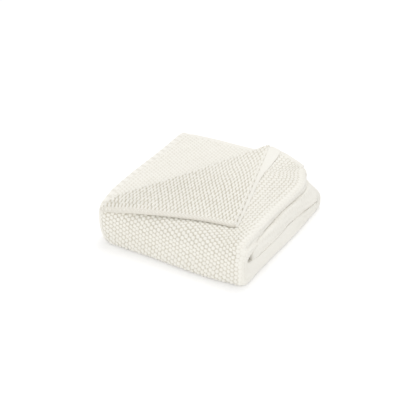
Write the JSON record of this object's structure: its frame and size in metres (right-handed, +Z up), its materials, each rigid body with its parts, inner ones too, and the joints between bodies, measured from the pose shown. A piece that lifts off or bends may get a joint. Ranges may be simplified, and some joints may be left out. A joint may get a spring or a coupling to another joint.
{
  "type": "folded throw blanket",
  "caption": "Knitted throw blanket folded into a thick rectangular stack, with a corner turned over on top that lifts and a top fold that opens.",
  "frame": {"origin": "middle of the folded stack's footprint, on the surface it rests on", "axes": "+Z up through the layers, +Y from the rounded front fold to the back where the top fold ends, +X towards the side with the strip's folded edges"},
  "size_m": [0.3878, 0.4139, 0.1195],
  "materials": {
    "knit": "matte moss-stitch cotton knit, warm ivory",
    "hem": "matte close-knit border band, warm ivory"
  },
  "bodies": {
    "base": {"back_bend_1": "knit", "back_bend_2": "knit", "back_bend_3": "knit", "back_bend_4": "knit", "bottom_layer_1": "knit", "bottom_layer_2": "knit", "bottom_layer_3": "knit", "bottom_layer_4": "knit", "bottom_left_fold": "knit", "bottom_right_fold_inner": "knit", "bottom_right_fold_outer": "knit", "bottom_side_hem_1": "hem", "bottom_side_hem_2": "hem", "front_bend_lower_1": "knit", "front_bend_lower_2": "knit", "front_bend_lower_3": "knit", "front_bend_lower_4": "knit", "middle_end_hem_1": "hem", "middle_end_hem_2": "hem", "middle_end_hem_3": "hem", "middle_end_hem_4": "hem", "middle_layer_1": "knit", "middle_layer_2": "knit", "middle_layer_3": "knit", "middle_layer_4": "knit", "middle_left_fold": "knit", "middle_right_fold_inner": "knit", "middle_right_fold_outer": "knit", "middle_side_hem_1": "hem", "middle_side_hem_2": "hem"},
    "top_pass": {"corner_fold_lower": "knit", "front_bend_upper_1": "knit", "front_bend_upper_2": "knit", "front_bend_upper_3": "knit", "front_bend_upper_4": "knit", "top_end_hem_1": "hem", "top_end_hem_2": "hem", "top_end_hem_3": "hem", "top_end_hem_4": "hem", "top_layer_1": "knit", "top_layer_2": "knit", "top_layer_3": "knit", "top_layer_4": "knit", "top_left_fold": "knit", "top_right_fold_inner": "knit", "top_right_fold_outer": "knit", "top_side_hem_2": "hem"},
    "turned_corner": {"corner_flap": "knit", "corner_fold_upper": "knit", "corner_front_hem": "hem", "corner_side_hem": "hem"}
  },
  "joints": [
    {"name": "top_fold", "type": "hinge", "parent": "base", "child": "top_pass", "pos_m": [0, -0.207, 0.0552], "axis": [1, 0, 0], "range_deg": [0, 165]},
    {"name": "corner_fold", "type": "hinge", "parent": "top_pass", "child": "turned_corner", "pos_m": [-0.18, -0.192, 0.11025], "axis": [-0.4575, -0.8892, 0], "range_deg": [0, 170]}
  ]
}
